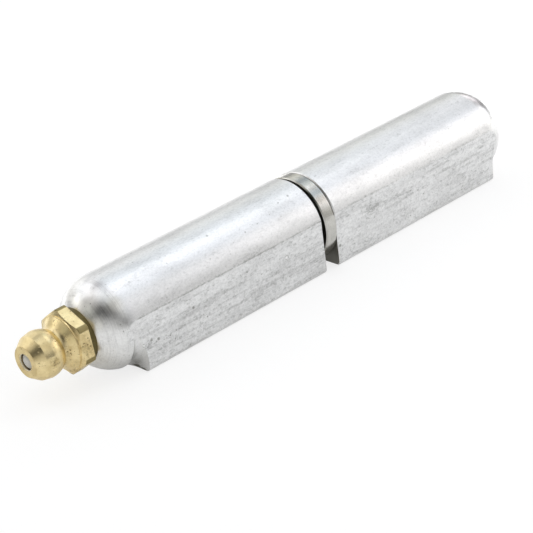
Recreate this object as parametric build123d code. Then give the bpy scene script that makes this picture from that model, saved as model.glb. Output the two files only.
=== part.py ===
from build123d import *

import math
import os

# Weld-on barrel hinge of the lift-off kind, 80 mm long over its two leaves.
#
# Millimetres, +Z up. The hinge axis is X. The origin is on the hinge axis, at the joint face of the
# pin leaf. The pin leaf lies along +X and the greased socket leaf along -X. The two weld walls of
# each leaf face -Y and -Z and meet in the square weld corner, so the hinge lies on its -Z wall.

# --- drop-shaped bar that both leaves are turned from ---
BARREL_RADIUS = 6.5
WALL_INSET = 0.25               # each flat weld wall lies this far inside the barrel
WELD_CORNER_RADIUS = 0.8
WELD_CORNER_ANGLE = 225.0       # direction of the square corner, from +Y towards +Z
EDGE_BREAK = 0.15               # deburred edge of every joint face

# --- leaves: joint face to the end of the dome ---
SOCKET_LEAF_LENGTH = 39.2
PIN_LEAF_LENGTH = 38.25
DOME_FLAT_RADIUS = 1.0          # flat left at the end of each dome
SOCKET_HEEL_SETBACK = 6.4       # end of the dome back to the square heel of the weld corner
PIN_HEEL_SETBACK = 5.05
HEEL_FILLET = 1.25              # round nose of the tool that cuts the heel
HEEL_ROOT_RADIUS = 6.2          # bottom of that cut, just under the weld walls
HEEL_CUT_ARC = 95.0             # the cut runs this far round the weld corner

# --- hinge pin, pressed into the pin leaf ---
PIN_RADIUS = 4.0
PIN_PRESS = 0.01                # radial interference in the pin leaf
PIN_RUNNING_GAP = 0.05          # radial clearance in the socket leaf
PIN_PRESSED_LENGTH = 25.0
PIN_FREE_LENGTH = 30.0          # joint face of the pin leaf to the pin's tip
PIN_TIP_CHAMFER = 1.0
PRESS_BORE_SPARE = 0.5          # the press bore is deeper than the pin by this
GREASE_POCKET = 1.5             # pin tip to the shoulder of the running bore
DRILL_POINT_ANGLE = 118.0

# --- thrust washer between the leaves ---
WASHER_EDGE_SETBACK = 0.1       # washer's edge inside the barrel
WASHER_THICKNESS = 2.0
WASHER_BORE_GAP = 0.15          # radial clearance round the pin
LEAF_PLAY = 0.55                # socket leaf stands this far off the washer

# --- grease fitting, from the spot face that it seats on outwards ---
SPOT_FACE_DEPTH = 0.75
SPOT_FACE_MARGIN = 0.2
THREAD_RADIUS = 2.7             # M6 x 1 taken plain at its pitch radius
THREAD_GAP = 0.05
SHANK_LENGTH = 5.5
TAPPED_SPARE = 1.0
SEAT_COLLAR_RADIUS = 3.8
SEAT_COLLAR_HEIGHT = 0.9
HEX_ACROSS_FLATS = 8.0
HEX_CORNER_RADIUS = 4.52        # the bar that the hexagon is milled from
HEX_HEIGHT = 1.75
HEX_CHAMFER_RADIUS = 3.85
HEX_CHAMFER_ANGLE = 25.0
HEX_TURN = 23.0                 # how far the screwed-in fitting has turned
STEP_RADIUS = 3.8
STEP_HEIGHT = 0.2
FLARE_RADIUS = 3.7
FLARE_HEIGHT = 1.0
NECK_RADIUS = 2.45
NECK_BLEND = 1.0
NECK_HEIGHT = 1.4               # step to the back of the head, flare included
BELLY_RADIUS = 3.25             # ball-shaped belly of the head
BELLY_BACK_HEIGHT = 1.85        # back of the head to the belly's widest place
BELLY_FRONT_HEIGHT = 1.2        # widest place to the foot of the cone
CONE_HEIGHT = 1.26
HEAD_FRONT_RADIUS = 2.14

# --- check valve inside the fitting ---
BALL_RADIUS = 1.6
BALL_RECESS = 0.02              # ball behind the front of the head
BALL_SEAT_GAP = 0.03
SEAT_HALF_ANGLE = 25.0
ORIFICE_RADIUS = 1.1
ORIFICE_CHAMFER = 0.12
VALVE_BORE_RADIUS = 1.75
CRIMP_RADIUS = 0.8
CRIMP_LENGTH = 0.5
SPRING_WIRE_RADIUS = 0.18
SPRING_COIL_RADIUS = 1.25
SPRING_PITCH = 1.9
SPRING_END_GAP = 0.03

# --- grease way between the fitting and the running bore ---
GREASE_WAY_RADIUS = 1.25

CUTTER_OVERRUN = 1.0            # how far a cutter runs out past the face that it enters

# --- derived sizes ---
WALL_DISTANCE = BARREL_RADIUS - WALL_INSET
DOME_RADIUS = BARREL_RADIUS - DOME_FLAT_RADIUS
WASHER_RADIUS = BARREL_RADIUS - WASHER_EDGE_SETBACK
JOINT_GAP = WASHER_THICKNESS + LEAF_PLAY
SPOT_FACE_X = -(JOINT_GAP + SOCKET_LEAF_LENGTH - SPOT_FACE_DEPTH)
RUNNING_BORE_RADIUS = PIN_RADIUS + PIN_RUNNING_GAP
RUNNING_BORE_DEPTH = PIN_FREE_LENGTH - JOINT_GAP + GREASE_POCKET
PRESS_BORE_RADIUS = PIN_RADIUS - PIN_PRESS
TAPPED_DEPTH = SHANK_LENGTH + TAPPED_SPARE
HEX_TOP = SEAT_COLLAR_HEIGHT + HEX_HEIGHT
STEP_TOP = HEX_TOP + STEP_HEIGHT
HEAD_BACK = STEP_TOP + NECK_HEIGHT
BELLY_CENTRE = HEAD_BACK + BELLY_BACK_HEIGHT
CONE_FOOT = BELLY_CENTRE + BELLY_FRONT_HEIGHT
HEAD_FRONT = CONE_FOOT + CONE_HEIGHT
BALL_CENTRE = HEAD_FRONT - BALL_RECESS - BALL_RADIUS


def rod(radius, start, end):
    """Return a cylinder on the hinge axis between two places along it."""
    return Plane.YZ.offset(start) * extrude(Circle(radius), end - start)


def turned(outline):
    """Return the solid turned about the hinge axis from an (x, radius) outline."""
    return revolve(make_face(outline), Axis.X)


def blind_bore(radius, depth):
    """Return a drilled hole from the joint plane towards +X, with its drill point."""
    point = radius / math.tan(math.radians(DRILL_POINT_ANGLE / 2))
    return turned(Polyline((0, 0), (0, radius), (depth, radius), (depth + point, 0), close=True))


def drop_section():
    """Return the bar's section: a circle with two flat walls that meet in a square corner."""
    wall_end = math.sqrt(BARREL_RADIUS**2 - WALL_DISTANCE**2)
    top = BARREL_RADIUS * math.cos(math.radians(45))
    corner = (-WALL_DISTANCE, -WALL_DISTANCE)
    walls = Polyline((-WALL_DISTANCE, wall_end), corner, (wall_end, -WALL_DISTANCE))
    barrel = ThreePointArc((wall_end, -WALL_DISTANCE), (top, top), (-WALL_DISTANCE, wall_end))
    section = make_face(walls + barrel)
    return fillet(section.vertices().sort_by_distance(corner)[0], WELD_CORNER_RADIUS)


def turning_envelope(length, heel_x):
    """Return what the lathe leaves: the barrel with its dome, and the heel's square end."""
    outer = 2 * WALL_DISTANCE
    barrel = Pos(length / 2, BARREL_RADIUS / 2) * Rectangle(length, BARREL_RADIUS)
    dome_corner = barrel.vertices().sort_by_distance((length, BARREL_RADIUS))[0]
    barrel = fillet(dome_corner, DOME_RADIUS)
    heel = Pos(heel_x / 2, outer / 2) * Rectangle(heel_x, outer)
    return revolve(barrel + heel, Axis.X)


def round_weld_corner(profile):
    """Return the solid that a profile sweeps about the hinge axis, past the weld corner only."""
    start = WELD_CORNER_ANGLE - HEEL_CUT_ARC / 2
    return Rot(start, 0, 0) * revolve(profile, Axis.X, HEEL_CUT_ARC)


def leaf_blank(length, heel_setback):
    """Return a leaf without bores, from its joint face at x = 0 to the end of its dome."""
    heel_x = length - heel_setback
    nose_r = HEEL_ROOT_RADIUS + HEEL_FILLET
    root = round_weld_corner(Pos(heel_x + HEEL_FILLET / 2, nose_r / 2) * Rectangle(HEEL_FILLET, nose_r))
    nose = round_weld_corner(Pos(heel_x + HEEL_FILLET, nose_r) * Circle(HEEL_FILLET))
    bar = Plane.YZ * extrude(drop_section(), length)
    joint_face = bar.faces().sort_by(Axis.X)[0]
    bar = chamfer(joint_face.edges(), EDGE_BREAK)
    return (bar & (turning_envelope(length, heel_x) + root)) - nose


def pin_leaf():
    """Return the leaf that holds the pin."""
    blank = leaf_blank(PIN_LEAF_LENGTH, PIN_HEEL_SETBACK)
    return blank - blind_bore(PRESS_BORE_RADIUS, PIN_PRESSED_LENGTH + PRESS_BORE_SPARE)


def socket_leaf():
    """Return the leaf that turns on the pin, with its running bore, grease way and spot face."""
    leaf = leaf_blank(SOCKET_LEAF_LENGTH, SOCKET_HEEL_SETBACK)
    leaf -= blind_bore(RUNNING_BORE_RADIUS, RUNNING_BORE_DEPTH)
    leaf = mirror(leaf, about=Plane.YZ).move(Location((-JOINT_GAP, 0, 0)))
    spot_start = SPOT_FACE_X - SPOT_FACE_DEPTH - CUTTER_OVERRUN
    spot = rod(SEAT_COLLAR_RADIUS + SPOT_FACE_MARGIN, spot_start, SPOT_FACE_X)
    tapped_end = SPOT_FACE_X + TAPPED_DEPTH
    tapped = rod(THREAD_RADIUS + THREAD_GAP, SPOT_FACE_X, tapped_end)
    grease_way = rod(GREASE_WAY_RADIUS, tapped_end, -(JOINT_GAP + RUNNING_BORE_DEPTH))
    return leaf - spot - tapped - grease_way


def hinge_pin():
    """Return the pin, with a chamfer at both ends."""
    pin = rod(PIN_RADIUS, -PIN_FREE_LENGTH, PIN_PRESSED_LENGTH)
    ends = pin.edges().filter_by(GeomType.CIRCLE)
    return chamfer(ends, PIN_TIP_CHAMFER)


def thrust_washer():
    """Return the washer, which lies on the pin leaf's joint face."""
    ring = rod(WASHER_RADIUS, -WASHER_THICKNESS, 0)
    ring -= rod(PIN_RADIUS + WASHER_BORE_GAP, -WASHER_THICKNESS, 0)
    return chamfer(ring.edges().filter_by(GeomType.CIRCLE), EDGE_BREAK)


def seated(shape):
    """Move a shape whose +X runs outwards from the spot face to its place on the socket leaf."""
    return mirror(shape, about=Plane.YZ).move(Location((SPOT_FACE_X, 0, 0)))


def fitting_hexagon():
    """Return the hexagon, milled from round bar and chamfered in front."""
    blank = rod(HEX_CORNER_RADIUS, SEAT_COLLAR_HEIGHT, HEX_TOP)
    prism = RegularPolygon(HEX_ACROSS_FLATS / 2, 6, major_radius=False, rotation=HEX_TURN)
    flats = Plane.YZ.offset(SEAT_COLLAR_HEIGHT) * extrude(prism, HEX_HEIGHT)
    drop = (HEX_CORNER_RADIUS - HEX_CHAMFER_RADIUS) * math.tan(math.radians(HEX_CHAMFER_ANGLE))
    cone = turned(
        Polyline(
            (0, 0),
            (0, HEX_CORNER_RADIUS),
            (HEX_TOP - drop, HEX_CORNER_RADIUS),
            (HEX_TOP, HEX_CHAMFER_RADIUS),
            (HEX_TOP, 0),
            close=True,
        )
    )
    return blank & flats & cone


def fitting_head():
    """Return the outline of the head: a ball-shaped belly, cut off behind and coned in front."""
    belly = CenterArc((BELLY_CENTRE, 0), BELLY_RADIUS, 0, 180)
    cone_foot_radius = math.sqrt(BELLY_RADIUS**2 - BELLY_FRONT_HEIGHT**2)
    blank = Polyline(
        (HEAD_BACK, 0),
        (HEAD_BACK, BELLY_RADIUS),
        (BELLY_CENTRE, BELLY_RADIUS),
        (CONE_FOOT, cone_foot_radius),
        (HEAD_FRONT, HEAD_FRONT_RADIUS),
        (HEAD_FRONT, 0),
        close=True,
    )
    return make_face(belly + Line(belly @ 1, belly @ 0)) & make_face(blank)


def fitting_neck():
    """Return the outline of the neck: it flares down to the step, and runs on into the belly."""
    neck_start = STEP_TOP + FLARE_HEIGHT
    outline = Polyline(
        (STEP_TOP, 0),
        (STEP_TOP, FLARE_RADIUS),
        (neck_start, NECK_RADIUS),
        (BELLY_CENTRE, NECK_RADIUS),
        (BELLY_CENTRE, 0),
        close=True,
    )
    neck = make_face(outline)
    root = neck.vertices().sort_by_distance((neck_start, NECK_RADIUS))[0]
    return fillet(root, NECK_BLEND)


def valve_bore():
    """Return the way for grease through the fitting, with the ball's cone seat behind the orifice."""
    half = math.radians(SEAT_HALF_ANGLE)
    reach = BALL_RADIUS + BALL_SEAT_GAP
    contact_height = BALL_CENTRE + reach * math.sin(half)
    contact_radius = reach * math.cos(half)
    seat_front = contact_height + (contact_radius - ORIFICE_RADIUS) / math.tan(half)
    seat_back = contact_height - (VALVE_BORE_RADIUS - contact_radius) / math.tan(half)
    crimp_end = CRIMP_LENGTH - SHANK_LENGTH
    return turned(
        Polyline(
            (-SHANK_LENGTH, 0),
            (-SHANK_LENGTH, CRIMP_RADIUS),
            (crimp_end, CRIMP_RADIUS),
            (crimp_end, VALVE_BORE_RADIUS),
            (seat_back, VALVE_BORE_RADIUS),
            (seat_front, ORIFICE_RADIUS),
            (HEAD_FRONT - ORIFICE_CHAMFER, ORIFICE_RADIUS),
            (HEAD_FRONT, ORIFICE_RADIUS + ORIFICE_CHAMFER),
            (HEAD_FRONT, 0),
            close=True,
        )
    )


def grease_fitting():
    """Return the one-piece body of the grease fitting."""
    body = rod(THREAD_RADIUS, -SHANK_LENGTH, 0)
    body += rod(SEAT_COLLAR_RADIUS, 0, SEAT_COLLAR_HEIGHT)
    body += fitting_hexagon()
    body += rod(STEP_RADIUS, HEX_TOP, STEP_TOP)
    body += revolve(fitting_head() + fitting_neck(), Axis.X)
    return seated(body - valve_bore())


def check_ball():
    """Return the ball that closes the fitting."""
    return seated(Pos(BALL_CENTRE, 0, 0) * Sphere(BALL_RADIUS))


def check_spring():
    """Return the spring between the ball and the crimped end of the shank."""
    touch = BALL_RADIUS + SPRING_WIRE_RADIUS + SPRING_END_GAP
    front = BALL_CENTRE - math.sqrt(touch**2 - SPRING_COIL_RADIUS**2)
    back = CRIMP_LENGTH - SHANK_LENGTH + SPRING_WIRE_RADIUS + SPRING_END_GAP
    coil = Helix(SPRING_PITCH, front - back, SPRING_COIL_RADIUS)
    section = Plane(origin=coil @ 0, z_dir=coil % 0) * Circle(SPRING_WIRE_RADIUS)
    wire = sweep(section, path=coil, is_frenet=True)
    return seated(Pos(back, 0, 0) * Rot(0, 90, 0) * wire)


def main():
    """Write one STEP file for each piece of the hinge."""
    os.makedirs("parts", exist_ok=True)
    pieces = {
        "pin_leaf": pin_leaf(),
        "hinge_pin": hinge_pin(),
        "thrust_washer": thrust_washer(),
        "socket_leaf": socket_leaf(),
        "grease_fitting": grease_fitting(),
        "check_ball": check_ball(),
        "check_spring": check_spring(),
    }
    for name, shape in pieces.items():
        export_step(shape, f"parts/{name}.step")


main()
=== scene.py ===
"""Looks of a weld-on barrel hinge: drawn aluminium leaves, a pin, a washer and a brass fitting."""

from __future__ import annotations

import logging
import math
from dataclasses import dataclass
from enum import Enum
from functools import cached_property

import bmesh
import bpy
from bpy.types import Material, Node, NodeOutputs, NodeSocket, NodeTree, Object
from mathutils import Matrix, Vector

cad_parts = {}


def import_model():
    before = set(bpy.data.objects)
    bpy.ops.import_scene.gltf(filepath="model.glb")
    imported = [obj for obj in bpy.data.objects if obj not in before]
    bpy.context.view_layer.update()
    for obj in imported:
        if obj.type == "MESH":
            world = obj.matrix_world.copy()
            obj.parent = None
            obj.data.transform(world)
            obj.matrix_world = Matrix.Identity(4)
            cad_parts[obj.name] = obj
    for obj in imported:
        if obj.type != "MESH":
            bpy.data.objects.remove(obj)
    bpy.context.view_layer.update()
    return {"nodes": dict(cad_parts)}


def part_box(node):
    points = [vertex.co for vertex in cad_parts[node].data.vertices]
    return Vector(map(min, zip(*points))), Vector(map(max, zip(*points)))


MILLIMETRE = 0.001
FRAME_SIDE = 533
SENSOR_WIDTH_MM = 36.0
CLIP_NEAR, CLIP_FAR = 0.01, 20.0
FLOOR_SEGMENTS = 64
BUMP_STRENGTH = 0.8
BEVEL_SAMPLES = 4
WHITE = (1.0, 1.0, 1.0)
OPAQUE = 1.0
# Inputs and output of a Mix node that are colours.
MIX_FACTOR, MIX_FIRST, MIX_SECOND, MIX_RESULT = 0, 6, 7, 2

Colour = tuple[float, float, float]
Point = tuple[float, float, float]
Feed = float | tuple | NodeSocket

log = logging.getLogger("barrel_hinge")


@dataclass
class Graph:
    """A shader node tree while it is being wired."""

    tree: NodeTree

    def feed(self, socket: NodeSocket, value: Feed) -> None:
        """Link a socket, or set its plain value.

        Args:
            socket: The input to fill.
            value: Another node's output, a number, a tuple, or a colour without alpha.
        """
        if isinstance(value, NodeSocket):
            self.tree.links.new(value, socket)
        elif socket.type == "RGBA":
            socket.default_value = (*value, OPAQUE)
        else:
            socket.default_value = value

    def fill(self, node: Node, feeds: dict) -> None:
        """Feed several inputs of a node, by name or index."""
        for name, value in feeds.items():
            self.feed(node.inputs[name], value)

    def node(self, kind: str, feeds: dict | None = None, **settings: object) -> Node:
        """Add a node.

        Args:
            kind: Blender's name of the node type, after "ShaderNode".
            feeds: Inputs by name or index.
            **settings: Attributes of the node, such as its operation.

        Returns:
            The new node.
        """
        made = self.tree.nodes.new("ShaderNode" + kind)
        for name, value in settings.items():
            setattr(made, name, value)
        self.fill(made, feeds or {})
        return made

    def output(self, kind: str, feeds: dict | None = None, **settings: object) -> NodeSocket:
        """Return the first output of a new node."""
        return self.node(kind, feeds, **settings).outputs[0]

    def group(self, tree: NodeTree, **feeds: Feed) -> NodeOutputs:
        """Return the outputs of a node group, given its inputs."""
        return self.node("Group", feeds, node_tree=tree).outputs

    def math(self, operation: str, *values: Feed, clamp: bool = False) -> NodeSocket:
        """Return the result of a Math node.

        Args:
            operation: Blender's name of the operation.
            *values: Its operands in order.
            clamp: Whether the result is held between 0 and 1.

        Returns:
            The node's output.
        """
        feeds = dict(enumerate(values))
        return self.output("Math", feeds, operation=operation, use_clamp=clamp)

    def times(self, first: Feed, second: Feed) -> NodeSocket:
        """Return two values multiplied."""
        return self.math("MULTIPLY", first, second)

    def larger(self, first: Feed, second: Feed) -> NodeSocket:
        """Return the larger of two values."""
        return self.math("MAXIMUM", first, second)

    def fold(self, value: Feed, factor: Feed, onto: Feed, clamp: bool = False) -> NodeSocket:
        """Return a value times a factor, added onto another value."""
        return self.math("MULTIPLY_ADD", value, factor, onto, clamp=clamp)

    def pile(self, base: Feed, *layers: tuple[Feed, Feed]) -> Feed:
        """Return a value with layers added, each a value and the factor that it is taken by."""
        for value, factor in layers:
            base = self.fold(value, factor, base)
        return base

    def vector(self, operation: str, *values: Feed) -> NodeOutputs:
        """Return the outputs of a Vector Math node with its operands in order."""
        feeds = dict(enumerate(values))
        return self.node("VectorMath", feeds, operation=operation).outputs

    def scaled(self, vector: Feed, factor: Feed) -> NodeSocket:
        """Return a vector times a number."""
        return self.output("VectorMath", {0: vector, "Scale": factor}, operation="SCALE")

    def spaced(self, vector: Feed, spacing: Feed) -> NodeSocket:
        """Return a place counted in spacings."""
        return self.scaled(vector, self.math("DIVIDE", 1.0, spacing))

    def stretched(self, vector: Feed, along: float) -> NodeSocket:
        """Return a place with its way along the hinge taken by a factor."""
        return self.vector("MULTIPLY", vector, (along, 1.0, 1.0))[0]

    def split(self, vector: Feed) -> NodeOutputs:
        """Return a vector's three parts."""
        return self.node("SeparateXYZ", {0: vector}).outputs

    def join(self, *parts: Feed) -> NodeSocket:
        """Return the vector that has these parts."""
        return self.output("CombineXYZ", dict(enumerate(parts)))

    def span(
        self, value: Feed, low: Feed, high: Feed, start: Feed = 0.0, end: Feed = 1.0
    ) -> NodeSocket:
        """Return a smooth step from start to end as value goes from low to high.

        Args:
            value: What is looked up.
            low: Where the step begins.
            high: Where the step ends.
            start: Result below the step.
            end: Result above the step.

        Returns:
            The node's output.
        """
        feeds = {"Value": value, "From Min": low, "From Max": high, "To Min": start, "To Max": end}
        return self.output("MapRange", feeds, interpolation_type="SMOOTHSTEP")

    def fade(self, value: Feed, low: Feed, high: Feed) -> NodeSocket:
        """Return a smooth step from 1 down to 0 as value goes from low to high."""
        return self.span(value, low, high, 1.0, 0.0)

    def mix(self, factor: Feed, first: Feed, second: Feed) -> NodeSocket:
        """Return two colours mixed.

        Args:
            factor: Share of the second colour.
            first: Colour at factor 0.
            second: Colour at factor 1.

        Returns:
            The mixed colour.
        """
        feeds = {MIX_FACTOR: factor, MIX_FIRST: first, MIX_SECOND: second}
        return self.node("Mix", feeds, data_type="RGBA").outputs[MIX_RESULT]

    def noise(self, vector: Feed, scale: Feed, detail: Feed = 2.0, rough: Feed = 0.5) -> NodeSocket:
        """Return the value of a noise texture.

        Args:
            vector: Where it is looked up.
            scale: Waves per unit.
            detail: Octaves.
            rough: Strength of the higher octaves.

        Returns:
            A value round a half.
        """
        feeds = {"Vector": vector, "Scale": scale, "Detail": detail, "Roughness": rough}
        return self.output("TexNoise", feeds)

    def cells(self, vector: Feed) -> NodeOutputs:
        """Return the outputs of a cell texture, one cell per unit."""
        feeds = {"Vector": vector, "Scale": 1.0}
        return self.node("TexVoronoi", feeds, feature="F1").outputs

    def dice(self, colour: Feed) -> NodeOutputs:
        """Return the three random numbers that a cell's colour holds."""
        return self.node("SeparateColor", {0: colour}).outputs

    def bump(self, height: Feed, distance: float, edge_break: float = 0.0) -> NodeSocket:
        """Return a normal that a height bends.

        Args:
            height: Height, where 1 is the whole distance.
            distance: Metres for a height of 1.
            edge_break: Metres by which edges look rounded.

        Returns:
            The bent normal.
        """
        feeds = {"Height": height, "Strength": BUMP_STRENGTH, "Distance": distance}
        if edge_break:
            radius = {"Radius": edge_break}
            feeds["Normal"] = self.output("Bevel", radius, samples=BEVEL_SAMPLES)
        return self.output("Bump", feeds)


class Socket(Enum):
    """Kinds of socket on a node group."""

    VALUE = "NodeSocketFloat"
    VECTOR = "NodeSocketVector"


def open_group(name: str, **inputs: Feed) -> tuple[Graph, NodeOutputs]:
    """Begin a node group.

    Args:
        name: The group's name.
        **inputs: Default of each input; a tuple makes it a vector.

    Returns:
        The group's graph, and what its inputs give.
    """
    tree = bpy.data.node_groups.new(name, "ShaderNodeTree")
    for label, default in inputs.items():
        kind = Socket.VECTOR if isinstance(default, tuple) else Socket.VALUE
        made = tree.interface.new_socket(name=label, in_out="INPUT", socket_type=kind.value)
        made.default_value = default
    return Graph(tree), tree.nodes.new("NodeGroupInput").outputs


def close_group(graph: Graph, **outputs: NodeSocket) -> NodeTree:
    """Give a node group its outputs.

    Args:
        graph: The group's graph.
        **outputs: What each output gives.

    Returns:
        The group.
    """
    end = graph.tree.nodes.new("NodeGroupOutput")
    for label, value in outputs.items():
        kind = Socket.VECTOR if value.type == "VECTOR" else Socket.VALUE
        graph.tree.interface.new_socket(name=label, in_out="OUTPUT", socket_type=kind.value)
        graph.feed(end.inputs[label], value)
    return graph.tree


class EffectLibrary:
    """Node groups that several finishes share. Each is built when it is first asked for."""

    @cached_property
    def axes(self) -> NodeTree:
        """The group that measures a point from the hinge axis, in millimetres."""
        graph, _ = open_group("axes")
        source = graph.node("TexCoord").outputs
        place = graph.scaled(source["Object"], 1 / MILLIMETRE)
        along, across, up = graph.split(place)
        radius = graph.math("SQRT", graph.fold(across, across, graph.times(up, up)))
        facing = graph.math("ABSOLUTE", graph.split(source["Normal"])[0])
        return close_group(graph, Place=place, Along=along, Radius=radius, Facing=facing)

    @cached_property
    def turned_rings(self) -> NodeTree:
        """The group that gives a lathe tool's rings about the hinge axis."""
        graph, given = open_group("turned_rings", Pitch=0.12, Waver=0.2)
        axes = graph.group(self.axes)
        waver = graph.times(graph.noise(axes["Place"], 0.35, 1.0), given["Waver"])
        profile = graph.join(graph.math("ADD", axes["Along"], waver), axes["Radius"])
        rings = graph.noise(graph.spaced(profile, given["Pitch"]), 1.0, 3.0, 0.6)
        return close_group(graph, Rings=rings)

    @cached_property
    def drawn_lines(self) -> NodeTree:
        """The group that gives the lengthwise lines of a drawing die."""
        graph, given = open_group("drawn_lines", Width=0.15, Length=15.0, Detail=3.0)
        parts = graph.split(graph.group(self.axes)["Place"])
        sizes = (given["Length"], given["Width"], given["Width"])
        drawn_out = [graph.math("DIVIDE", part, size) for part, size in zip(parts, sizes)]
        lines = graph.noise(graph.join(*drawn_out), 1.0, given["Detail"], 0.55)
        return close_group(graph, Lines=lines)

    @cached_property
    def pits(self) -> NodeTree:
        """The group that scatters small round pits. Share says how many cells hold one."""
        graph, given = open_group("pits", Spacing=0.8, Share=0.2, Size=0.25, Stretch=0.6)
        along, across, up = graph.split(graph.group(self.axes)["Place"])
        vector = graph.join(graph.times(along, given["Stretch"]), across, up)
        cells = graph.cells(graph.spaced(vector, given["Spacing"]))
        dice = graph.dice(cells["Color"])
        reach = graph.times(given["Size"], graph.span(dice[1], 0.0, 1.0, 0.45, 1.2))
        spot = graph.fade(cells["Distance"], graph.times(reach, 0.35), reach)
        taken = graph.math("LESS_THAN", dice[0], given["Share"])
        return close_group(graph, Mask=graph.times(spot, taken))

    @cached_property
    def zone(self) -> NodeTree:
        """The group that fades out round a place, with an uneven edge."""
        reach = (1.0, 1.0, 1.0)
        graph, given = open_group("zone", Centre=(0.0, 0.0, 0.0), Reach=reach, Ragged=0.5)
        place = graph.group(self.axes)["Place"]
        away = graph.vector("SUBTRACT", place, given["Centre"])[0]
        share = graph.vector("DIVIDE", away, given["Reach"])[0]
        distance = graph.vector("LENGTH", share)["Value"]
        drift = graph.math("SUBTRACT", graph.noise(place, 1.1, 3.0, 0.6), 0.5)
        uneven = graph.fold(drift, given["Ragged"], distance)
        return close_group(graph, Mask=graph.fade(uneven, 0.15, 1.0))

    @cached_property
    def nicks(self) -> NodeTree:
        """The group that scatters short thin scratches, each in its own direction."""
        graph, given = open_group("nicks", Spacing=1.0, Share=0.4, Width=0.03, Length=0.45)
        scaled = graph.spaced(graph.group(self.axes)["Place"], given["Spacing"])
        cells = graph.cells(scaled)
        local = graph.vector("SUBTRACT", scaled, cells["Position"])[0]
        centred = graph.vector("SUBTRACT", cells["Color"], (0.5, 0.5, 0.5))[0]
        heading = graph.vector("NORMALIZE", centred)[0]
        drift = graph.fold(graph.noise(scaled, 2.0, 2.0), 0.22, -0.11)
        off = graph.math("ADD", graph.vector("DOT_PRODUCT", local, heading)["Value"], drift)
        apart = graph.times(graph.math("ABSOLUTE", off), given["Spacing"])
        line = graph.fade(apart, 0.0, given["Width"])
        tip = graph.fade(cells["Distance"], graph.times(given["Length"], 0.6), given["Length"])
        taken = graph.math("LESS_THAN", graph.dice(cells["Color"])[2], given["Share"])
        return close_group(graph, Mask=graph.times(graph.times(line, tip), taken))


@dataclass(frozen=True)
class Mark:
    """A single ding or pit: where it is and how wide, in millimetres."""

    place: Point
    size: float
    strength: float = 1.0


@dataclass(frozen=True)
class Patch:
    """A soft-edged patch on a surface: its centre and reach, in millimetres."""

    centre: Point
    reach: Point
    strength: float = 1.0


class Metal:
    """A metal while it is being wired, with its places measured in millimetres."""

    def __init__(self, name: str, effects: EffectLibrary) -> None:
        """Begin the metal.

        Args:
            name: The material's name.
            effects: The shared node groups.
        """
        self.effects = effects
        self.material = bpy.data.materials.new(name)
        self.material.use_nodes = True
        self.graph = Graph(self.material.node_tree)
        self.place, self.along, self.radius, self.facing = self.graph.group(effects.axes)

    def patches(
        self, patches: tuple[Patch, ...], ragged: float = 0.5, clamp: bool = False
    ) -> Feed:
        """Return one mask of several patches.

        Args:
            patches: The patches to add up.
            ragged: How uneven their edges are.
            clamp: Whether the sum is held between 0 and 1.

        Returns:
            A mask, or 0 where there are none.
        """
        total: Feed = 0.0
        for patch in patches:
            feeds = {"Centre": patch.centre, "Reach": patch.reach, "Ragged": ragged}
            zone = self.graph.group(self.effects.zone, **feeds)[0]
            total = self.graph.fold(zone, patch.strength, total, clamp)
        return total

    def marks(self, marks: tuple[Mark, ...], grow: float = 1.0) -> Feed:
        """Return one mask of several single marks, each a little out of round.

        Args:
            marks: The marks to add up.
            grow: How many times their own size they are drawn.

        Returns:
            A mask, or 0 where there are none.
        """
        graph = self.graph
        total: Feed = 0.0
        waver = graph.fold(graph.noise(self.place, 7.0, 1.0), 0.16, -0.08)
        for mark in marks:
            away = graph.vector("DISTANCE", self.place, mark.place)["Value"]
            size = mark.size * grow
            uneven = graph.math("ADD", away, waver)
            spot = graph.span(uneven, size * 0.4, size, mark.strength, 0.0)
            total = graph.math("ADD", spot, total)
        return total

    def finish(self, colour: Feed, rough: Feed, normal: Feed, bare: Feed = 1.0) -> Material:
        """Wire the shader.

        Args:
            colour: Its colour.
            rough: Its roughness.
            normal: Its bent normal.
            bare: How far it is bare metal and not dulled.

        Returns:
            The material.
        """
        shader = self.material.node_tree.nodes["Principled BSDF"]
        feeds = {"Base Color": colour, "Roughness": rough, "Normal": normal, "Metallic": bare}
        self.graph.fill(shader, feeds)
        return self.material


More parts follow.
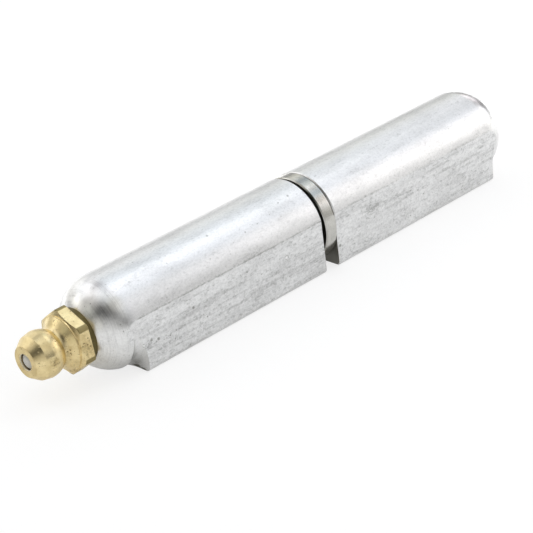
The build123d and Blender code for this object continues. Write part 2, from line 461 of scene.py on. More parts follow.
@dataclass(frozen=True)
class DrawnAluminium:
    """Mill-finish drawn aluminium bar with turned ends.

    Attributes:
        name: The material's name.
        joint: Where the leaf's joint face is along the hinge.
        fresh: Colour of clean drawn metal.
        dull: Colour of the darker grain and smears, and of the painted shade near the floor, at the
            heel's root and under the end dome.
        turned: Colour where the lathe has cut.
        grime_and_shade: Colour of pits, dirt and scratches, and of the painted shade along the
            creases and round the dings.
        joint_grease_and_shade: Colour of the joint face and its edge: grease, and painted shade, as
            the face sits in the narrow gap by the washer.
        ding_glint: Painted highlight colour of a ding.
        crease: Height of a weld wall's upper edge above the hinge axis.
        crease_shade_depth: How dark the painted shade line along that edge is.
        wall: Distance of the weld walls from the hinge axis.
        low_shade_edge: Heights between which the painted shade near the floor fades out.
        relief: Metres of the bump for a height of 1.
        edge_break: Metres by which edges look rounded.
        smears_and_shade: Darker patches: smudges, and painted shade at the heel's root and under
            the end dome.
        clusters: Patches with many pits.
        dirt_and_shade: Patches of black dirt, and of painted shade round the heel's root.
        fresh_cuts: Patches where the lathe's rings show best.
        dings: Single dings, each painted with a highlight and a shaded rim.
        holes: Single dark pits.
    """

    name: str
    joint: float
    fresh: Colour = (0.92, 0.92, 0.92)
    dull: Colour = (0.44, 0.44, 0.435)
    turned: Colour = (0.90, 0.898, 0.89)
    grime_and_shade: Colour = (0.16, 0.155, 0.13)
    joint_grease_and_shade: Colour = (0.23, 0.225, 0.205)
    ding_glint: Colour = (0.97, 0.97, 0.97)
    crease: float = 1.785
    crease_shade_depth: float = 0.45
    wall: float = 6.25
    low_shade_edge: tuple[float, float] = (-5.6, -4.6)
    relief: float = 0.000012
    edge_break: float = 0.00007
    smears_and_shade: tuple[Patch, ...] = ()
    clusters: tuple[Patch, ...] = ()
    dirt_and_shade: tuple[Patch, ...] = ()
    fresh_cuts: tuple[Patch, ...] = ()
    dings: tuple[Mark, ...] = ()
    holes: tuple[Mark, ...] = ()

    def crease_shade_line(self, metal: Metal) -> NodeSocket:
        """Return the mask of the thin painted shade line where each weld wall meets the barrel.

        Args:
            metal: The metal that is being wired.

        Returns:
            The mask.
        """
        graph, place = metal.graph, metal.place
        _, across, up = graph.split(place)
        drawn_out = graph.vector("MULTIPLY", place, (0.35, 1.6, 1.6))[0]
        drift = graph.fold(graph.noise(drawn_out, 1.0, 3.0), 0.22, -0.11)
        lines = []
        for from_wall, from_edge in ((across, up), (up, across)):
            off = graph.math("ADD", graph.math("SUBTRACT", from_edge, self.crease), drift)
            line = graph.fade(graph.math("ABSOLUTE", off), 0.02, 0.14)
            near = graph.math("LESS_THAN", from_wall, -self.wall * 0.93)
            lines.append(graph.times(line, near))
        broken = graph.span(graph.noise(place, 1.3, 3.0, 0.7), 0.36, 0.60, 0.35, 1.0)
        return graph.times(graph.larger(*lines), broken)

    def on_wall(self, metal: Metal) -> NodeSocket:
        """Return the mask of the two flat weld walls."""
        _, across, up = metal.graph.split(metal.place)
        lowest = metal.graph.math("MINIMUM", across, up)
        return metal.graph.fade(lowest, -self.wall + 0.02, -self.wall + 0.12)

    def bar_tone(self, metal: Metal, wall: Feed, grain: Feed) -> NodeSocket:
        """Return how dull the metal is, from grain, flecks, rows, clouds, smears and painted shade.

        Args:
            metal: The metal that is being wired.
            wall: Mask of the weld walls, which are duller.
            grain: The finest mottle.

        Returns:
            A value from 0 to 1.
        """
        graph, effects, place = metal.graph, metal.effects, metal.place
        rows = graph.group(effects.drawn_lines, Width=0.55, Length=7.0, Detail=4.0)[0]
        fleck = graph.noise(graph.stretched(place, 0.6), 2.3, 4.0, 0.75)
        cloud = graph.noise(graph.stretched(place, 0.3), 0.5, 4.0, 0.6)
        # Smudges, with painted shade at the heel's root and under the end dome.
        smudge_and_shade = metal.patches(self.smears_and_shade)
        rough_grain = graph.span(grain, 0.36, 0.66)
        grain_depth = graph.fold(wall, 0.18, 0.27)
        fleck_depth = graph.fold(wall, 0.18, 0.18)
        row_depth = graph.fold(wall, 0.22, 0.05)
        smudge_and_shade_depth = graph.fold(rough_grain, 0.9, 0.25)
        tone = graph.times(rough_grain, grain_depth)
        tone = graph.fold(graph.span(fleck, 0.52, 0.66), fleck_depth, tone)
        tone = graph.math("ADD", graph.times(graph.span(rows, 0.50, 0.68), row_depth), tone)
        # Painted shade: darker towards the floor, along the lower edge of the walls.
        ragged_height = graph.fold(cloud, 1.6, graph.split(place)[2])
        low_shade = graph.fade(ragged_height, *self.low_shade_edge)
        tone = graph.pile(tone, (graph.span(cloud, 0.40, 0.72), 0.20), (low_shade, 0.22))
        return graph.fold(smudge_and_shade, smudge_and_shade_depth, tone, clamp=True)

    def darkening(self, metal: Metal, drawn: Feed, dings: Feed) -> NodeSocket:
        """Return the mask of all that is black: pits, painted shade along the creases, dirt,
        painted shade round the heel's root and painted shaded rims of dings.

        Args:
            metal: The metal that is being wired.
            drawn: Mask of the drawn faces, which alone show the crease.
            dings: Mask of the dings.

        Returns:
            The mask.
        """
        graph, effects = metal.graph, metal.effects
        crowd = metal.patches(self.clusters)
        share = graph.fold(crowd, 0.75, 0.10)
        pits = graph.group(effects.pits, Spacing=0.42, Share=share, Size=0.34)[0]
        sparse = graph.group(effects.pits, Spacing=1.5, Share=0.22, Size=0.09)[0]
        # Painted shade: a thin dark line along each crease.
        crease = graph.times(self.crease_shade_line(metal), drawn)
        pit_depth = graph.fold(crowd, 0.35, 0.22)
        dark = graph.larger(graph.times(pits, pit_depth), graph.times(sparse, 0.5))
        dark = graph.larger(dark, graph.times(crease, self.crease_shade_depth))
        # Dirt patches, and painted shade round the heel's root.
        dark = graph.larger(dark, graph.larger(metal.marks(self.holes), metal.patches(self.dirt_and_shade)))
        # Painted shade: a broken dark rim round each ding.
        ding_rim_shade = graph.math("SUBTRACT", metal.marks(self.dings, grow=1.5), dings, clamp=True)
        broken = graph.span(graph.noise(metal.place, 3.5, 1.0), 0.42, 0.58)
        return graph.fold(graph.times(ding_rim_shade, broken), 0.8, dark, clamp=True)

    def build(self, effects: EffectLibrary) -> Material:
        """Build the finish.

        Args:
            effects: The shared node groups.

        Returns:
            The material.
        """
        metal = Metal(self.name, effects)
        graph, place, facing = metal.graph, metal.place, metal.facing
        cut = graph.span(facing, 0.02, 0.25)
        drawn = graph.math("SUBTRACT", 1.0, cut)
        wall = self.on_wall(metal)
        fine = graph.group(effects.drawn_lines, Width=0.12, Length=1.6)[0]
        grain = graph.noise(graph.stretched(place, 0.75), 3.6, 5.0, 0.85)
        rings = graph.group(effects.turned_rings, Pitch=0.17, Waver=0.3)[0]
        kept = graph.span(graph.noise(place, 0.5, 3.0, 0.65), 0.40, 0.62, 0.10, 1.0)
        kept = graph.larger(kept, metal.patches(self.fresh_cuts))

        tone = self.bar_tone(metal, wall, grain)
        bar = graph.mix(tone, self.fresh, self.dull)
        kept_rings = graph.times(graph.span(rings, 0.40, 0.68), kept)
        ring_tone = graph.fold(kept_rings, 0.36, graph.times(tone, 0.75))
        colour = graph.mix(cut, bar, graph.mix(ring_tone, self.turned, self.dull))

        dings = metal.marks(self.dings)
        dark = self.darkening(metal, drawn, dings)
        colour = graph.mix(dark, colour, self.grime_and_shade)
        # Painted highlight: each ding is painted near white.
        colour = graph.mix(graph.times(dings, 0.9), colour, self.ding_glint)
        # Grease and painted shade on the joint face, which sits in the narrow gap by the washer.
        from_joint = graph.math("ABSOLUTE", graph.math("SUBTRACT", metal.along, self.joint))
        on_joint = graph.times(graph.fade(from_joint, 0.1, 0.2), graph.span(facing, 0.85, 0.98))
        colour = graph.mix(on_joint, colour, self.joint_grease_and_shade)
        nicks = graph.group(effects.nicks, Share=0.35, Width=0.04, Length=0.22)[0]
        colour = graph.mix(graph.times(nicks, 0.32), colour, self.grime_and_shade)

        rough = graph.pile(graph.span(tone, 0.0, 1.0, 0.38, 0.50), (cut, -0.10), (dark, 0.3))
        height = graph.pile(
            graph.times(fine, graph.times(drawn, 0.5)),
            (graph.times(rings, graph.times(cut, kept)), 1.5),
            (grain, graph.fold(wall, 0.5, 0.5)),
            (dark, -1.2),
            (dings, -1.5),
            (nicks, -0.6),
        )
        return metal.finish(colour, rough, graph.bump(height, self.relief, self.edge_break))


@dataclass(frozen=True)
class TurnedBrass:
    """Bright turned brass with a milled hexagon, dented where the spanner gripped.

    Attributes:
        name: The material's name.
        bright: Colour of clean brass.
        tan: Colour of handled brass.
        stain: Colour of pits and dirt.
        corner_shade: Painted shade on the turned strips at the hexagon's corners.
        back: Colour of the collar behind the hexagon: painted shade, as it lies in the shade behind
            the hexagon.
        hole_light: Painted light inside the hole in the front, lighter than the brass.
        hexagon: Where the hexagon starts and ends along the hinge.
        blur: Width over which one face's finish gives way to the next.
        corner_start: Radius beyond which the hexagon's corners are turned strips, with painted
            shade.
        front: Where the flat front of the head is.
        orifice: Radius of the hole in the front.
        relief: Metres of the bump for a height of 1.
        edge_break: Metres by which edges look rounded.
        worn: Patches that are scuffed and darker.
    """

    name: str
    bright: Colour = (0.87, 0.72, 0.40)
    tan: Colour = (0.66, 0.52, 0.26)
    stain: Colour = (0.16, 0.11, 0.045)
    corner_shade: Colour = (0.27, 0.22, 0.095)
    back: Colour = (0.15, 0.12, 0.05)
    hole_light: Colour = (0.93, 0.84, 0.64)
    hexagon: tuple[float, float] = (-43.65, -41.9)
    blur: float = 0.03
    corner_start: float = 4.36
    front: float = -49.5
    orifice: float = 1.2
    relief: float = 0.000014
    edge_break: float = 0.00008
    worn: tuple[Patch, ...] = (
        Patch((-42.8, -4.0, 0.0), (1.3, 0.9, 2.8)),
        Patch((-47.3, -3.2, -0.1), (1.0, 0.8, 1.0)),
        Patch((-44.8, -2.6, -0.3), (1.0, 1.2, 1.6), 0.7),
        Patch((-43.5, -1.6, -3.4), (1.0, 2.4, 1.4), 0.8),
    )

    def build(self, effects: EffectLibrary) -> Material:
        """Build the finish.

        Args:
            effects: The shared node groups.

        Returns:
            The material.
        """
        metal = Metal(self.name, effects)
        graph, place, along, radius = metal.graph, metal.place, metal.along, metal.radius
        foot, top = self.hexagon
        on_hexagon = graph.times(
            graph.span(along, foot - self.blur, foot + self.blur),
            graph.fade(along, top - self.blur, top + self.blur),
        )
        on_corner = graph.times(on_hexagon, graph.span(radius, self.corner_start, self.corner_start + 0.07))
        on_collar = graph.span(along, top, top + 0.05)
        on_front = graph.fade(along, self.front - 0.04, self.front)
        in_orifice = graph.fade(radius, self.orifice - 0.05, self.orifice + self.blur)
        scuffed = metal.patches(self.worn, ragged=1.2, clamp=True)

        cloud = graph.noise(place, 0.7, 3.0, 0.6)
        mottle = graph.noise(place, 3.2, 4.0, 0.65)
        clouded = graph.span(cloud, 0.35, 0.7, 0.0, 0.6)
        tone = graph.math("ADD", clouded, graph.span(mottle, 0.45, 0.75, 0.0, 0.35))
        tone = graph.fold(scuffed, 0.6, graph.fold(on_front, 0.3, tone), clamp=True)
        colour = graph.mix(tone, self.bright, self.tan)
        # Painted shade on the hexagon's corner strips and on the collar behind it.
        colour = graph.mix(graph.times(on_corner, 0.9), colour, self.corner_shade)
        colour = graph.mix(on_collar, colour, self.back)

        share = graph.fold(scuffed, 0.6, 0.06)
        dents = graph.group(effects.pits, Spacing=0.30, Share=share, Size=0.42, Stretch=0.8)[0]
        specks = graph.group(effects.pits, Spacing=0.6, Share=0.16, Size=0.10, Stretch=1.0)[0]
        share = graph.fold(scuffed, 0.6, 0.15)
        nicks = graph.group(effects.nicks, Spacing=0.42, Share=share, Width=0.04, Length=0.45)[0]
        hammered = graph.span(graph.noise(place, 2.6, 3.0, 0.6), 0.42, 0.66)
        hammered = graph.times(hammered, scuffed)
        stains = graph.larger(graph.times(dents, 0.6), graph.times(specks, 0.7))
        stains = graph.larger(stains, graph.times(nicks, 0.5))
        stains = graph.fold(hammered, 0.42, stains, clamp=True)
        colour = graph.mix(stains, colour, self.stain)
        # Painted light inside the hole: lighter and not metallic, so the groove round the ball
        # shows no shade.
        colour = graph.mix(graph.times(in_orifice, 0.9), colour, self.hole_light)

        collar_and_corners = graph.larger(on_collar, on_corner)
        rough = graph.pile(0.27, (tone, 0.10), (on_front, 0.12), (collar_and_corners, 0.18), (stains, 0.3))
        rings = graph.group(effects.turned_rings, Pitch=0.10, Waver=0.05)[0]
        height = graph.pile(
            graph.times(rings, graph.math("SUBTRACT", 1.0, on_hexagon)),
            (mottle, 0.9),
            (dents, -2.6),
            (specks, -1.6),
            (nicks, -2.2),
            (hammered, -2.0),
        )
        normal = graph.bump(height, self.relief, self.edge_break)
        return metal.finish(colour, rough, normal, graph.math("SUBTRACT", 1.0, in_orifice))


@dataclass(frozen=True)
class FinishedSteel:
    """Turned, ground or drawn steel.

    Attributes:
        name: The material's name.
        bright: Colour of clean metal.
        dull: Colour between the tool's rings.
        grime_and_shade: Colour of specks, nicks and grease, and of the painted shade on the broken
            edges and in the narrow gaps.
        pitch: Spacing of the tool's rings, in millimetres.
        rough: Roughness of the clean metal.
        relief: Metres of the bump for a height of 1.
        pitted: Share of cells that hold a speck.
        rim: Radius inside which the flat faces are darkened: grease, and painted shade of the
            narrow gaps between the parts.
        edge: How dark the painted shade on its broken edges and flat faces is.
        metal: How far it is bare metal and not dulled.
    """

    name: str
    bright: Colour
    dull: Colour
    grime_and_shade: Colour = (0.18, 0.17, 0.15)
    pitch: float = 0.1
    rough: float = 0.3
    relief: float = 0.000004
    pitted: float = 0.1
    rim: float = 0.0
    edge: float = 0.0
    metal: float = 1.0

    def build(self, effects: EffectLibrary) -> Material:
        """Build the finish.

        Args:
            effects: The shared node groups.

        Returns:
            The material.
        """
        metal = Metal(self.name, effects)
        graph, facing = metal.graph, metal.facing
        rings = graph.group(effects.turned_rings, Pitch=self.pitch, Waver=0.06)[0]
        cloud = graph.noise(metal.place, 0.8, 3.0, 0.6)
        ringed = graph.span(rings, 0.35, 0.7, 0.0, 0.45)
        tone = graph.math("ADD", ringed, graph.span(cloud, 0.4, 0.7, 0.0, 0.55))
        colour = graph.mix(tone, self.bright, self.dull)
        pits = {"Spacing": 0.7, "Share": self.pitted, "Size": 0.14, "Stretch": 1.0}
        specks = graph.group(effects.pits, **pits)[0]
        nicks = graph.group(effects.nicks, Spacing=1.2, Share=0.3, Width=0.02, Length=0.4)[0]
        worn = graph.larger(graph.times(specks, 0.5), graph.times(nicks, 0.3))
        # Grease and painted shade on the flat faces inside the rim.
        inside = graph.span(metal.radius, self.rim - 0.06, self.rim, 0.5, 0.0)
        grease_and_shade = graph.times(inside, graph.span(facing, 0.85, 0.98))
        worn = graph.larger(worn, grease_and_shade)
        # Painted shade on the broken edges and the flat faces outside the rim.
        edge = graph.math("SUBTRACT", graph.span(facing, 0.2, 0.6), grease_and_shade, clamp=True)
        worn = graph.larger(worn, graph.times(edge, self.edge))
        colour = graph.mix(worn, colour, self.grime_and_shade)
        rough = graph.fold(tone, 0.10, self.rough)
        normal = graph.bump(graph.fold(worn, -1.5, rings), self.relief)
        return metal.finish(colour, rough, normal, self.metal)


PIN_LEAF_METAL = DrawnAluminium(
    "drawn_aluminium_pin_leaf",
    joint=0.0,
    # Painted light: this leaf's clean metal is a little lighter than the socket leaf's, as it is
    # lit more brightly.
    fresh=(0.94, 0.94, 0.94),
    crease_shade_depth=0.06,
    smears_and_shade=(
        Patch((7.2, -6.2, -0.2), (2.4, 1.0, 1.5), 0.5),
        Patch((10.3, -6.2, -0.4), (1.0, 1.0, 0.3), 0.3),
        Patch((13.8, -6.2, -0.35), (3.8, 1.0, 0.45), 0.38),
        Patch((12.5, -6.2, -2.85), (2.6, 1.0, 0.3), 0.2),
        Patch((13.0, -6.2, -3.9), (7.5, 1.0, 0.22), 0.28),
        Patch((31.0, -6.2, -3.95), (2.5, 1.0, 0.2), 0.25),
        Patch((31.6, -6.2, 0.4), (1.1, 1.0, 0.7), 0.25),
        Patch((6.6, -4.07, 5.07), (1.7, 0.6, 0.6), 0.32),
        Patch((15.3, -3.99, 5.13), (1.5, 0.5, 0.5), 0.18),
        Patch((1.1, -2.12, 6.15), (0.5, 0.25, 0.25), 0.45),
        Patch((6.3, -1.78, 6.25), (0.9, 0.3, 0.3), 0.28),
        Patch((31.3, -2.0, 6.18), (0.5, 0.3, 0.3), 0.45),
        Patch((5.5, -0.1, 6.5), (3.2, 0.4, 0.4), 0.22),
        Patch((12.5, -2.35, 6.06), (4.0, 0.15, 0.3), 0.14),
    ),
    clusters=(Patch((7.0, -6.2, -0.4), (3.5, 1.0, 2.0), 0.5),),
    holes=(
        Mark((0.35, -6.25, -3.2), 0.3, 0.5),
        Mark((14.8, -6.25, -4.5), 0.15, 0.5),
        Mark((26.05, -6.25, -4.85), 0.2, 0.4),
        Mark((23.8, -6.25, -2.1), 0.18, 0.25),
        Mark((3.1, -6.25, -4.0), 0.14, 0.25),
        Mark((10.1, -6.25, -2.8), 0.15, 0.3),
        Mark((12.6, -1.49, 6.33), 0.13, 0.4),
    ),
)

SOCKET_LEAF_METAL = DrawnAluminium(
    "drawn_aluminium_socket_leaf",
    joint=-2.55,
    # Painted shade on the joint face, lighter than on the pin leaf.
    joint_grease_and_shade=(0.62, 0.61, 0.56),
    smears_and_shade=(
        Patch((-34.9, -6.2, -2.4), (1.1, 1.0, 0.7), 0.4),
        Patch((-31.0, -6.2, -3.65), (4.8, 1.0, 0.4), 0.32),
        Patch((-24.5, -6.2, -3.6), (5.0, 1.0, 0.3), 0.18),
        Patch((-15.0, -6.2, -2.25), (10.5, 1.0, 0.22), 0.24),
        Patch((-8.5, -6.2, -3.5), (4.6, 1.0, 0.28), 0.28),
        Patch((-18.0, -6.2, -3.6), (5.0, 1.0, 0.3), 0.16),
        Patch((-15.9, -6.2, -4.3), (1.2, 1.0, 0.5), 0.24),
        Patch((-15.5, -6.25, 2.2), (5.5, 1.2, 0.7), 0.34),
        Patch((-31.5, -6.25, 2.4), (3.5, 1.2, 0.8), 0.22),
        Patch((-24.0, -6.25, 2.2), (3.0, 1.2, 0.5), 0.15),
        Patch((-21.0, -4.8, 4.38), (0.55, 0.2, 0.2), 0.4),
        # Painted shade in the root corner of the heel.
        Patch((-35.75, -3.9, -5.3), (0.6, 0.9, 0.9), 0.55),
        # Painted shade under the end dome.
        Patch((-37.6, -2.6, -5.8), (3.2, 4.2, 1.7), 0.4),
    ),
    clusters=(
        Patch((-33.0, -6.2, -2.4), (2.6, 1.0, 0.9), 0.7),
        Patch((-29.5, -6.2, -3.0), (4.0, 1.0, 1.0), 0.5),
        Patch((-24.0, -6.2, -2.5), (3.0, 1.0, 0.8), 0.4),
    ),
    dirt_and_shade=(
        Patch((-35.6, -3.6, -5.95), (0.7, 1.0, 0.4)),
        Patch((-35.4, -4.8, -6.15), (0.6, 0.9, 0.25), 0.9),
        # Painted shade round the heel's root.
        Patch((-35.8, -4.2, -5.2), (1.2, 2.0, 1.8), 0.42),
    ),
    fresh_cuts=(Patch((-39.3, -4.3, 3.9), (2.2, 2.6, 2.6), 1.6),),
    # Dings, each painted with a highlight and a shaded rim.
    dings=(
        Mark((-9.75, -6.25, -0.7), 0.3),
        Mark((-35.75, -6.2, -2.2), 0.24),
        Mark((-13.2, -6.25, -1.9), 0.1, 0.5),
        Mark((-5.7, -6.25, -1.3), 0.2, 0.3),
    ),
    holes=(
        Mark((-26.9, -6.25, -0.65), 0.3, 0.55),
        Mark((-34.4, -6.25, -1.9), 0.28, 0.5),
        Mark((-33.25, -6.25, -2.3), 0.32, 0.6),
        Mark((-33.6, -6.25, -2.5), 0.15, 0.5),
        Mark((-32.4, -6.25, -2.75), 0.14, 0.55),
        Mark((-31.9, -6.25, -2.8), 0.12, 0.5),
        Mark((-31.3, -6.25, -2.7), 0.14, 0.55),
        Mark((-30.2, -6.25, -2.45), 0.12, 0.5),
        Mark((-29.6, -6.25, -2.5), 0.1, 0.5),
        Mark((-28.7, -6.25, -2.35), 0.1, 0.5),
        Mark((-30.55, -6.25, -3.5), 0.17, 0.55),
        Mark((-31.6, -6.25, -3.6), 0.13, 0.4),
        Mark((-24.8, -6.25, -2.9), 0.15, 0.65),
        Mark((-25.4, -6.25, -2.35), 0.12, 0.4),
        Mark((-28.3, -6.25, -5.45), 0.16, 0.4),
        Mark((-15.6, -6.25, -0.1), 0.28, 0.2),
        Mark((-5.2, -2.89, 5.82), 0.22, 0.5),
        Mark((-20.0, -2.71, 5.91), 0.24, 0.4),
        Mark((-14.9, -4.45, 4.74), 0.18, 0.4),
        Mark((-12.4, -4.23, 4.94), 0.15, 0.35),
        Mark((-31.4, -0.95, 6.43), 0.15, 0.4),
        Mark((-38.4, -5.73, 1.98), 0.16, 0.5),
        Mark((-38.3, -6.0, 1.03), 0.14, 0.45),
        Mark((-39.9, -2.24, 4.62), 0.14, 0.5),
        Mark((-40.4, -1.63, 4.27), 0.12, 0.45),
    ),
)

PIN_STEEL = FinishedSteel(
    "ground_pin_steel", (0.66, 0.66, 0.67), (0.46, 0.46, 0.46), pitch=0.07, rough=0.2
)

SPRING_STEEL = FinishedSteel(
    "drawn_spring_wire", (0.55, 0.55, 0.56), (0.35, 0.35, 0.36), pitch=0.05, rough=0.3
)

WASHER_STEEL = FinishedSteel(
    "satin_washer_steel",
    bright=(0.64, 0.63, 0.595),
    dull=(0.49, 0.48, 0.445),
    pitch=0.14,
    rough=0.17,
    # Grease and painted shade on the faces inside this rim, and painted shade on the edges.
    rim=6.39,
    edge=0.22,
)

BALL_STEEL = FinishedSteel(
    "satin_ball_steel",
    bright=(0.74, 0.72, 0.67),
    dull=(0.60, 0.58, 0.53),
    pitch=0.3,
    rough=0.45,
    metal=0.3,
)


@dataclass
class Assembly:
    """Parts of the hinge that are dressed together."""

    nodes: dict[str, Object]
    effects: EffectLibrary

    def dress(self, name: str, finish: DrawnAluminium | TurnedBrass | FinishedSteel) -> None:
        """Give a CAD node its finish.

        Args:
            name: The node's name.
            finish: The finish for all of it.
        """
        node = self.nodes[name]
        material = finish.build(self.effects)
        if not node.material_slots:
            node.data.materials.append(material)
        for place in node.material_slots:
            place.material = material
        log.info("dressed %s in %s", node.name, material.name)


@dataclass
class FrameSide(Assembly):
    """The leaf welded to the frame, with the pin pressed into it."""

    leaf: DrawnAluminium = PIN_LEAF_METAL
    pin: FinishedSteel = PIN_STEEL

    def build(self) -> None:
        """Dress the leaf and the pin."""
        self.dress("pin_leaf", self.leaf)
        self.dress("hinge_pin", self.pin)


@dataclass
class ThrustBearing(Assembly):
    """The washer that the socket leaf turns on."""

    washer: FinishedSteel = WASHER_STEEL

    def build(self) -> None:
        """Dress the washer."""
        self.dress("thrust_washer", self.washer)


@dataclass
class DoorSide(Assembly):
    """The leaf welded to the door, with its grease fitting."""

    leaf: DrawnAluminium = SOCKET_LEAF_METAL
    fitting: TurnedBrass = TurnedBrass("turned_brass")

    def build(self) -> None:
        """Dress the leaf and the fitting."""
        self.dress("socket_leaf", self.leaf)
        self.dress("grease_fitting", self.fitting)


@dataclass
class CheckValve(Assembly):
    """The ball that closes the grease fitting, and the spring behind it."""

    spring: FinishedSteel = SPRING_STEEL
    ball: FinishedSteel = BALL_STEEL

    def build(self) -> None:
        """Dress the spring and the ball."""
        self.dress("check_spring", self.spring)
        self.dress("check_ball", self.ball)


def towards(azimuth: float, elevation: float) -> Vector:
    """Return the direction from the hinge to a place round it.

    Args:
        azimuth: Degrees; 0 is in front, along -Y, and 90 is along +X.
        elevation: Degrees above the floor.

    Returns:
        A vector of length 1.
    """
    turn, rise = math.radians(azimuth), math.radians(elevation)
    flat = math.cos(rise)
    return Vector((math.sin(turn) * flat, -math.cos(turn) * flat, math.sin(rise)))


@dataclass(frozen=True)
class SoftBox:
    """A square soft box, aimed at the middle of the hinge.

    Attributes:
        name: The lamp's name.
        azimuth: Degrees round the hinge; 0 is in front, 90 is over the pin leaf.
        elevation: Degrees above the floor.
        width: Side of the box, in metres.
        level: Brightness of its face, where 1 is white.
        tint: Colour of its light.
        distance: Metres from the hinge.
    """

    name: str
    azimuth: float
    elevation: float
    width: float
    level: float
    tint: Colour
    distance: float

    def build(self) -> None:
        """Add the lamp."""
        lamp = bpy.data.lights.new(self.name, "AREA")
        lamp.shape = "SQUARE"
        lamp.size = self.width
        lamp.energy = self.level * math.pi * self.width**2
        lamp.color = self.tint
        made = bpy.data.objects.new(self.name, lamp)
        away = towards(self.azimuth, self.elevation)
        made.location = away * self.distance
        made.rotation_mode = "QUATERNION"
        made.rotation_quaternion = (-away).to_track_quat("-Z", "Y")
        bpy.context.scene.collection.objects.link(made)


@dataclass(frozen=True)
class Glow:
    """A lit part of the studio's walls.

    Attributes:
        azimuth: Degrees round the hinge.
        elevation: Degrees above the floor.
        reach: Degrees from its middle where it has faded out.
        colour: What it adds to the walls at its middle, where 1 is white.
    """

    azimuth: float
    elevation: float
    reach: float
    colour: Colour


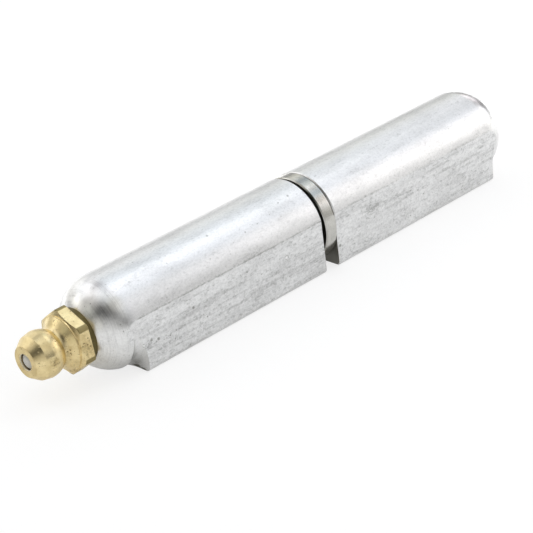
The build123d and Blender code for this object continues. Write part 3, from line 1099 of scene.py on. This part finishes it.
@dataclass
class Studio:
    """A pale light tent with soft boxes and a pale floor.

    Attributes:
        floor_height: Height of the floor, in metres.
        boxes: The lamps.
        walls: Colour of the tent where no glow falls.
        glows: The lit parts of the tent.
        floor_colour: Colour of the floor that lights the hinge.
        shadow_colour: Colour of the floor that the camera sees, which takes the shadow.
        floor_light: Light added to it, so that it looks white.
        floor_glow: Light that the metal mirrors from the near floor.
        far_glow: How much more it mirrors from the floor beyond the hinge.
        lit_side: Degrees round the hinge of that floor.
        lit_between: Metres from the hinge where it begins to brighten and is brightest.
        floor_reach: Radius of the floor, in metres.
    """

    floor_height: float
    boxes: tuple[SoftBox, ...] = (
        SoftBox("box_right", 78, 20, 0.22, 1.63, (0.96, 0.96, 1.0), 0.5),
        SoftBox("box_top_near", 75, 66, 0.2, 0.95, (1.0, 0.95, 1.0), 0.4),
        SoftBox("box_left_back", -155, 45, 0.36, 0.86, (0.95, 0.97, 1.0), 0.6),
        SoftBox("box_front_high", 60, 32, 0.16, 0.89, (1.0, 0.92, 0.88), 0.4),
        SoftBox("box_top_back", 110, 62, 0.2, 0.75, (0.84, 0.94, 1.0), 0.4),
        SoftBox("box_front_right", 55, 20, 0.22, 0.71, (1.0, 0.96, 0.95), 0.5),
        SoftBox("box_top_far", 95, 54, 0.2, 0.31, (0.94, 1.0, 0.96), 0.4),
    )
    walls: Colour = (0.03, 0.03, 0.03)
    glows: tuple[Glow, ...] = (
        Glow(0, 88, 32, (0.66, 0.7, 0.75)),
        Glow(-180, 62, 32, (0.2, 0.19, 0.2)),
        Glow(-120, 62, 32, (0.61, 0.59, 0.56)),
        Glow(0, 62, 32, (0.42, 0.41, 0.37)),
        Glow(18, 34, 32, (0.71, 0.71, 0.7)),
        Glow(162, 34, 32, (0.89, 0.9, 0.91)),
        Glow(-180, 4, 32, (0.88, 0.87, 0.84)),
        Glow(-60, 4, 32, (0.36, 0.36, 0.36)),
        Glow(-30, 4, 32, (0.5, 0.5, 0.49)),
        Glow(60, 4, 32, (0.94, 0.93, 0.89)),
        Glow(60, 50, 17, (0.6, 0.72, 0.83)),
        Glow(132, 45, 17, (0.34, 0.4, 0.46)),
        Glow(-100, 30, 17, (0.7, 0.71, 0.64)),
        Glow(30, 30, 17, (0.25, 0.28, 0.36)),
        Glow(-150, 25, 17, (1.22, 1.21, 1.13)),
        Glow(-130, 25, 17, (1.03, 1.0, 0.94)),
        Glow(112, 25, 17, (1.64, 1.56, 1.61)),
        Glow(132, 25, 17, (0.58, 0.58, 0.51)),
        Glow(-74, 10, 17, (0.55, 0.54, 0.47)),
        Glow(147, 4, 17, (0.38, 0.38, 0.38)),
    )
    floor_colour: Colour = (0.85, 0.85, 0.845)
    shadow_colour: Colour = (0.30, 0.30, 0.30)
    floor_light: float = 0.76
    floor_glow: float = 0.21
    far_glow: float = 0.65
    lit_side: float = 147.0
    lit_between: tuple[float, float] = (0.010, 0.060)
    floor_reach: float = 4.0

    def build_world(self) -> None:
        """Add the tent: white to the camera, and its own walls to everything else."""
        world = bpy.data.worlds.new("light_tent")
        bpy.context.scene.world = world
        world.use_nodes = True
        graph = Graph(world.node_tree)
        away = graph.node("TexCoord").outputs["Generated"]
        light: Feed = self.walls
        for glow in self.glows:
            middle = tuple(towards(glow.azimuth, glow.elevation))
            cosine = graph.vector("DOT_PRODUCT", away, middle)["Value"]
            share = graph.span(cosine, math.cos(math.radians(glow.reach)), 1.0)
            light = graph.vector("MULTIPLY_ADD", share, glow.colour, light)[0]
        tent = graph.output("Background", {"Color": light, "Strength": 1.0})
        white = graph.output("Background", {"Color": WHITE, "Strength": 1.0})
        path = graph.node("LightPath").outputs
        seen = graph.larger(path["Is Camera Ray"], path["Is Transmission Ray"])
        blend = graph.output("MixShader", {0: seen, 1: tent, 2: white})
        graph.fill(world.node_tree.nodes["World Output"], {0: blend})

    def floor_material(self) -> Material:
        """Return the floor's finish: near white with a faint shadow, and clear from below."""
        material = bpy.data.materials.new("pale_floor")
        material.use_nodes = True
        tree = material.node_tree
        tree.nodes.remove(tree.nodes["Principled BSDF"])
        graph = Graph(tree)
        place = graph.node("TexCoord").outputs["Object"]
        path = graph.node("LightPath").outputs
        lit_way = tuple(towards(self.lit_side, 0.0))
        behind = graph.vector("DOT_PRODUCT", place, lit_way)["Value"]
        brightest = self.floor_glow + self.far_glow
        level = graph.span(behind, *self.lit_between, self.floor_glow, brightest)
        sheen = graph.times(path["Is Glossy Ray"], level)
        matt = graph.output("BsdfDiffuse", {"Color": self.floor_colour})
        shine = graph.output("Emission", {"Color": WHITE, "Strength": sheen})
        pale = graph.output("AddShader", {0: matt, 1: shine})
        thin = graph.output("BsdfDiffuse", {"Color": self.shadow_colour})
        glow = graph.output("Emission", {"Color": WHITE, "Strength": self.floor_light})
        lit = graph.output("AddShader", {0: thin, 1: glow})
        seen = graph.larger(path["Is Camera Ray"], path["Is Transmission Ray"])
        top = graph.output("MixShader", {0: seen, 1: pale, 2: lit})
        under = graph.node("NewGeometry").outputs["Backfacing"]
        both = graph.output("MixShader", {0: under, 1: top, 2: graph.output("BsdfTransparent")})
        graph.fill(tree.nodes["Material Output"], {0: both})
        return material

    def build_floor(self) -> None:
        """Add the floor that the hinge lies on."""
        mesh = bpy.data.meshes.new("floor")
        form = bmesh.new()
        reach = self.floor_reach
        bmesh.ops.create_circle(form, cap_ends=True, segments=FLOOR_SEGMENTS, radius=reach)
        bmesh.ops.translate(form, vec=(0.0, 0.0, self.floor_height), verts=form.verts)
        form.to_mesh(mesh)
        form.free()
        floor = bpy.data.objects.new("floor", mesh)
        bpy.context.scene.collection.objects.link(floor)
        mesh.materials.append(self.floor_material())

    def build(self) -> None:
        """Add the tent, the lamps and the floor."""
        self.build_world()
        for box in self.boxes:
            box.build()
        self.build_floor()
        log.info("studio: %d soft boxes", len(self.boxes))


@dataclass(frozen=True)
class ViewPoint:
    """Where the camera stands, and how it is held.

    Attributes:
        azimuth: Degrees round the hinge's origin.
        elevation: Degrees above the floor.
        roll: Degrees that the camera is turned about its own line of sight.
        distance: Metres from the origin, along the line of sight.
        left: Metres that it stands to the left of that line.
        below: Metres that it stands below that line.
        focal: Focal length, in the units of FRAME_SIDE.
    """

    azimuth: float = -41.057
    elevation: float = 25.915
    roll: float = -7.603
    distance: float = 0.26632
    left: float = 0.00522
    below: float = 0.00710
    focal: float = 1908.526

    def build(self) -> None:
        """Add the camera and make it the scene's."""
        back = towards(self.azimuth, self.elevation)
        turn, roll = math.radians(self.azimuth), math.radians(self.roll)
        level = Vector((math.cos(turn), math.sin(turn), 0.0))
        upright = back.cross(level)
        right = math.cos(roll) * level + math.sin(roll) * upright
        up = math.cos(roll) * upright - math.sin(roll) * level
        data = bpy.data.cameras.new("camera")
        data.sensor_width = SENSOR_WIDTH_MM
        data.lens = self.focal / FRAME_SIDE * SENSOR_WIDTH_MM
        data.clip_start, data.clip_end = CLIP_NEAR, CLIP_FAR
        made = bpy.data.objects.new("camera", data)
        made.location = back * self.distance - right * self.left - up * self.below
        made.rotation_mode = "QUATERNION"
        made.rotation_quaternion = Matrix((right, up, back)).transposed().to_quaternion()
        bpy.context.scene.collection.objects.link(made)
        bpy.context.scene.camera = made


def main() -> None:
    """Dress the hinge, light it and point the camera at it."""
    logging.basicConfig(level=logging.INFO, format="%(name)s: %(message)s")
    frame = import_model()
    nodes = frame["nodes"]
    effects = EffectLibrary()
    for group in (FrameSide, ThrustBearing, DoorSide, CheckValve):
        group(nodes, effects).build()
    wall_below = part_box("pin_leaf")[0].z
    Studio(floor_height=wall_below).build()
    ViewPoint().build()
    bpy.context.scene.view_settings.view_transform = "Standard"


if __name__ == "__main__":
    main()
